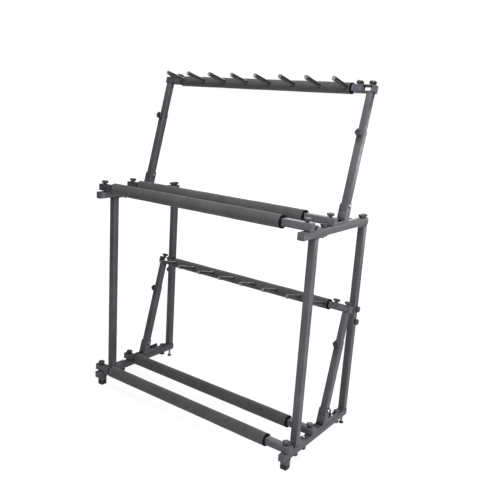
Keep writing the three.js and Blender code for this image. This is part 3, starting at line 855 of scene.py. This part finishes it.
def levelling_foot():
    base = turned("foot_base", FOOT_PAD, RUBBER, 40)
    stem = threaded_stem("foot_stem", STEM_RADIUS, *FOOT_STEM)
    return join("levelling_foot", base, stem, hex_nut("foot_nut", *FOOT_NUT))


def add_feet():
    cap, foot = foot_cap(), levelling_foot()
    for word, side in SIDES:
        put(cap, f"front_foot_cap_{word}", shifted(side * SIDE_X, FRONT_FOOT_Y, 0), "frame")
        node = f"rear_levelling_foot_{word}"
        put(foot, node, shifted(side * SIDE_X, REAR_FOOT_Y, 0), node)
    clear(cap, foot)


# Bars, brackets and foam

def crossbar():
    """Capped square tube with a black nylon seat under each end."""
    half = TUBE / 2
    bar = closed_bar("crossbar", (-CROSSBAR_END, -half, -half), (CROSSBAR_END, half, half),
                     TUBE_CORNER, STEEL, 0)
    seats = [turned(f"crossbar_seat_{word}", CROSSBAR_SEAT_OUTLINE, NYLON, 32)
             for word, _ in SIDES]
    for seat, (_, side) in zip(seats, SIDES):
        place(seat, Matrix.Translation(point(side * SIDE_X, 0, -half - CROSSBAR_SEAT)))
    return join("crossbar", bar, *seats)


def arm_bracket():
    """Right-hand sleeve of square tube: its end welded shut and rounded, a slot milled
    through its front and back walls."""
    half = TUBE / 2
    slot_in, slot_out, slot_high = ARM_SLOT
    piece = cube("arm_bracket", (ARM_BRACKET[0], -half, -half), (ARM_BRACKET[1], half, half), STEEL)
    edit(piece)
    pick("EDGE", lambda middle, along: abs(along.x) > ALIGNED)
    bevel(BAR_CORNER, 4)
    pick("EDGE", lambda middle, along: abs(along.x) < NEAR and middle.x > ARM_BRACKET[1] - NEAR)
    bevel(BAR_CORNER, 4)
    pick("FACE", lambda middle, normal: normal.x < -ALIGNED)
    bpy.ops.mesh.delete(type="FACE")
    cuts = [((x, 0, 0), (1, 0, 0)) for x in (slot_in, slot_out)]
    cuts += [((0, 0, z), (0, 0, 1)) for z in (-slot_high / 2, slot_high / 2)]
    for spot, way in cuts:
        bpy.ops.mesh.select_all(action="SELECT")
        bpy.ops.mesh.bisect(plane_co=point(*spot), plane_no=way)
    pick("FACE", lambda middle, normal: abs(normal.y) > ALIGNED and slot_in < middle.x < slot_out
         and abs(middle.z) < slot_high / 2)
    bpy.ops.mesh.delete(type="FACE")
    leave()
    modify(piece, "SOLIDIFY", thickness=ARM_BRACKET_WALL * MM, offset=-1.0, use_even_offset=True)
    return soften(piece, 0.3, 2, 50)


def foam_sleeve(name, start, end, radius):
    """Foam tube pushed over the bar: its skin swells and sinks by a few tenths of a
    millimetre along the bar. Its cut ends are slightly crowned, and dark up to a few
    millimetres along the skin."""
    rings = 40
    length = end - start
    foot = [(radius - 6, 0.9), (radius - 2.2, 0.5), (radius - 0.8, 0.9), (radius - 0.2, 2.2),
            (radius - 0.2, FOAM_DARK_BAND)]
    profile = list(foot)
    for i in range(rings + 1):
        share = i / rings
        ripple = 0.16 * math.sin(17.3 * share) + 0.12 * math.sin(41.7 * share + 1.1)
        up = FOAM_SKIN_FROM + share * (length - 2 * FOAM_SKIN_FROM)
        profile.append((radius - 0.25 + ripple, up))
    profile += [(wide, length - up) for wide, up in reversed(foot)]
    sleeve = turned(name, profile, FOAM, 56)
    sleeve.data.materials.append(FOAM_DARK_END)
    # Faces near either end, the cut end and a few millimetres of skin alike, take the near-black
    # end colour
    for face in sleeve.data.polygons:
        middle = face.center.z / MM
        if middle < FOAM_DARK_BAND or middle > length - FOAM_DARK_BAND:
            face.material_index = 1
    turn = Matrix.Rotation(math.radians(90), 4, "Y")
    return place(sleeve, Matrix.Translation(point(start, 0, 0)) @ turn)


def add_crossbars():
    bar = crossbar()
    knob = hand_knob("crossbar_knob", CROSSBAR_KNOB_STEM)
    for tier, rail_top, _ in TIERS:
        for place_word, y, sleeve_from, sleeve_to in CROSSBARS[tier]:
            node = f"{tier}_{place_word}_crossbar"
            seat = shifted(0, y, rail_top + CROSSBAR_SEAT + TUBE / 2)
            put(bar, node, seat, "frame")
            foam = foam_sleeve(f"dressed_{node}_sleeve", sleeve_from, sleeve_to,
                               CROSSBAR_SLEEVE_RADIUS)
            dress(place(foam, seat), "frame", node + "_sleeve")
            for word, side in SIDES:
                name = f"{node}_knob_{word}"
                on_top = shifted(side * SIDE_X, y, rail_top + CROSSBAR_SEAT + TUBE)
                put(knob, name, on_top, name)
    clear(bar, knob)


# Hinge brackets

def cheek(name, inner, outer, rear_lip):
    """Cheek plate: lips along the rail, drawn up between them into a leaning ear with a
    swept rear."""
    slope = math.tan(math.radians(LEAN))
    offset = 1 / math.cos(math.radians(LEAN))
    low, high = sorted((FRONT_LIP, rear_lip))
    front = PIVOT_Y + (low - PIVOT_UP) * slope - EAR_FRONT * offset
    rear = PIVOT_Y + (low - PIVOT_UP) * slope + EAR_REAR * offset
    drift = (high - low) * slope
    piece = cube(name, (inner, HINGE_Y[0], 0), (outer, HINGE_Y[1], low), STEEL)
    edit(piece)
    for y in (front, rear):
        bpy.ops.mesh.select_all(action="SELECT")
        bpy.ops.mesh.bisect(plane_co=point(0, y, 0), plane_no=(0, 1, 0))
    # The higher lip rises with the ear's slope, then its end is pulled back upright
    pick("FACE", lambda middle, normal: normal.z > ALIGNED
         and (middle.y > front if rear_lip > FRONT_LIP else middle.y < rear))
    extrude(0, drift, high - low)
    pick("VERT", lambda spot: spot.z > low + NEAR
         and (spot.y > HINGE_Y[1] + NEAR or spot.y < HINGE_Y[0] + drift + NEAR))
    bpy.ops.transform.translate(value=(0, -drift * MM, 0))
    pick("FACE", lambda middle, normal: normal.z > ALIGNED and middle.z > high - NEAR
         and front < middle.y < rear + drift)
    extrude(0, (EAR_TOP - high) * slope, EAR_TOP - high)
    pick("EDGE", lambda middle, along: abs(along.x) > ALIGNED and middle.z > EAR_TOP - NEAR)
    bevel(EAR_ROUND, 4)
    for y, lip, width, steps in ((rear, rear_lip, REAR_SWEEP, 8),
                                 (front, FRONT_LIP, FRONT_FILLET, 3)):
        pick("EDGE", lambda middle, along: abs(along.x) > ALIGNED and abs(middle.z - lip) < NEAR
             and abs(middle.y - y - (lip - low) * slope) < NEAR)
        bevel(width, steps)
    for y, lip in ((HINGE_Y[0], FRONT_LIP), (HINGE_Y[1], rear_lip)):
        pick("EDGE", lambda middle, along: abs(along.x) > ALIGNED and middle.z > lip - NEAR
             and abs(middle.y - y) < NEAR)
        bevel(LIP_ROUND, 3)
    leave()
    return soften(piece, 0.35)


def mount_screw(name, y):
    return place(turned(name, MOUNT_SCREW, ZINC, 24), Matrix.Translation(point(0, y, 0)))


def hinge_bracket(rear_lip):
    outer = HINGE_IN / 2 + CHEEK
    plates = [cheek("cheek_left", -outer, -HINGE_IN / 2, rear_lip),
              cheek("cheek_right", HINGE_IN / 2, outer, rear_lip)]
    web = soften(cube("web", (-outer, HINGE_Y[0], 0), (outer, HINGE_Y[1], WEB), STEEL), 0.3)
    stop = soften(cube("stop_plate", (-outer, STOP_Y[0], STOP_Z[0]),
                       (outer, STOP_Y[1], STOP_Z[1]), STEEL), 0.4)
    pivot = Matrix.Translation(point(0, PIVOT_Y, PIVOT_UP))
    place(stop, pivot @ Matrix.Rotation(math.radians(-LEAN), 4, "X"))
    across = pivot @ Matrix.Rotation(math.radians(90), 4, "Y")
    head = turned("pivot_head", PIVOT_HEAD, ZINC, 32)
    place(head, across @ Matrix.Translation(point(0, 0, outer)))
    cap = join("pivot_cap", hex_nut("pivot_nut", *PIVOT_NUT),
               turned("pivot_tip", PIVOT_TIP, ZINC, 20))
    place(cap, across @ Matrix.Rotation(math.pi, 4, "X") @ Matrix.Translation(point(0, 0, outer)))
    pin = place(turned("pivot_pin", PIVOT_PIN, ZINC, 24), across)
    screws = [mount_screw(f"mount_screw_{i}", y) for i, y in enumerate(MOUNT_SCREWS)]
    return join("hinge_bracket", *plates, web, stop, head, cap, pin, *screws)


# Arms and peg bars

# Turns a piece that stands along Z so that its top faces the front
FACING = Matrix.Rotation(math.radians(90), 4, "X")


def outer_tube():
    tube = square_tube("outer_tube", ARM_OUT, ARM_OUT_WALL, BAR_CORNER, -ARM_TAIL, ARM_TOP,
                       STEEL)
    boss = turned("clamp_boss", CLAMP_BOSS, STEEL, 36)
    place(boss, Matrix.Translation(point(0, 0, CLAMP_AT)) @ FACING)
    return join("outer_tube", tube, boss)


def inner_tube(bar_at):
    top = bar_at - TUBE / 2 - SEAT
    return square_tube("inner_tube", ARM_IN, TUBE_WALL, BAR_CORNER, top - ARM_IN_LENGTH, top,
                       STEEL)


def peg(name, x):
    """Nylon peg, its end rounded over a paler hollow plug."""
    both = join(name, turned(name, PEG, NYLON, 36),
                turned(name + "_plug", PEG_PLUG, PEG_END, 28))
    turn = Matrix.Rotation(math.radians(-PEG_TILT), 4, "X") @ FACING
    return place(both, Matrix.Translation(point(x, 0, 0)) @ turn)


def peg_bar(long_side):
    """Peg bar with its long end to one side, as far as the fixing screw of that bracket."""
    ends = sorted((long_side * BAR_LONG, -long_side * BAR_SHORT))
    half = BAR / 2
    tube = closed_bar("peg_bar_tube", (ends[0], -half, -half), (ends[1], half, half),
                      BAR_CORNER, STEEL, 0)
    return join("peg_bar", tube, *[peg(f"peg_{i}", x) for i, x in enumerate(PEG_XS)])


def add_arms():
    outer, bracket = outer_tube(), arm_bracket()
    brackets = {"right": bracket, "left": mirrored(bracket, "arm_bracket_left")}
    sleeve = foam_sleeve("peg_sleeve", *PEG_SLEEVE)
    height_knob = hand_knob("height_knob", HEIGHT_KNOB_STEM)
    clamp_knob = hand_knob("clamp_knob", CLAMP_KNOB_STEM)
    bracket_knob = hand_knob("bracket_knob", BRACKET_KNOB_STEM)
    for tier, rail_top, bar_at in TIERS:
        arm, on_bar = arm_frame(rail_top), arm_frame(rail_top, bar_at)
        above_bar = arm_frame(rail_top, bar_at + TUBE / 2 + SEAT)
        arms, rack = f"{tier}_arms", f"{tier}_rack"
        inner, hinge = inner_tube(bar_at), hinge_bracket(REAR_LIPS[tier])
        for word, side in SIDES:
            x = side * SIDE_X
            at_arm = arm @ Matrix.Translation(point(x, 0, 0))
            for source, kind, matrix, body in (
                    (hinge, "hinge_bracket", shifted(x, 0, rail_top), "frame"),
                    (outer, "arm_outer_tube", at_arm, arms),
                    (inner, "arm_inner_tube", at_arm, rack),
                    (brackets[word], "arm_bracket", on_bar, rack)):
                put(source, f"{tier}_{kind}_{word}", matrix, body)
            in_front = arm @ Matrix.Translation(point(x, -ARM_OUT / 2 - BOSS - SEAT, CLAMP_AT))
            over_clamp = above_bar @ Matrix.Translation(point(side * CLAMP_X, 0, 0))
            over_arm = above_bar @ Matrix.Translation(point(x, 0, 0))
            for knob, kind, matrix in ((height_knob, "height_knob", in_front @ FACING),
                                       (clamp_knob, "bar_clamp_knob", over_clamp),
                                       (bracket_knob, "bracket_knob", over_arm)):
                node = f"{tier}_{kind}_{word}"
                put(knob, node, matrix, node)
        node = f"{tier}_peg_bar"
        bar = peg_bar(LONG_BARS[tier])
        bar.name = "dressed_" + node
        dress(place(bar, on_bar), rack, node)
        foam = put(sleeve, node + "_sleeve", on_bar, rack)
        clear(inner, hinge)
    clear(outer, *brackets.values(), sleeve, height_knob, clamp_knob, bracket_knob)


add_side_frames()
add_feet()
add_crossbars()
add_arms()

bpy.context.scene.view_settings.view_transform = "Standard"
bpy.context.view_layer.update()
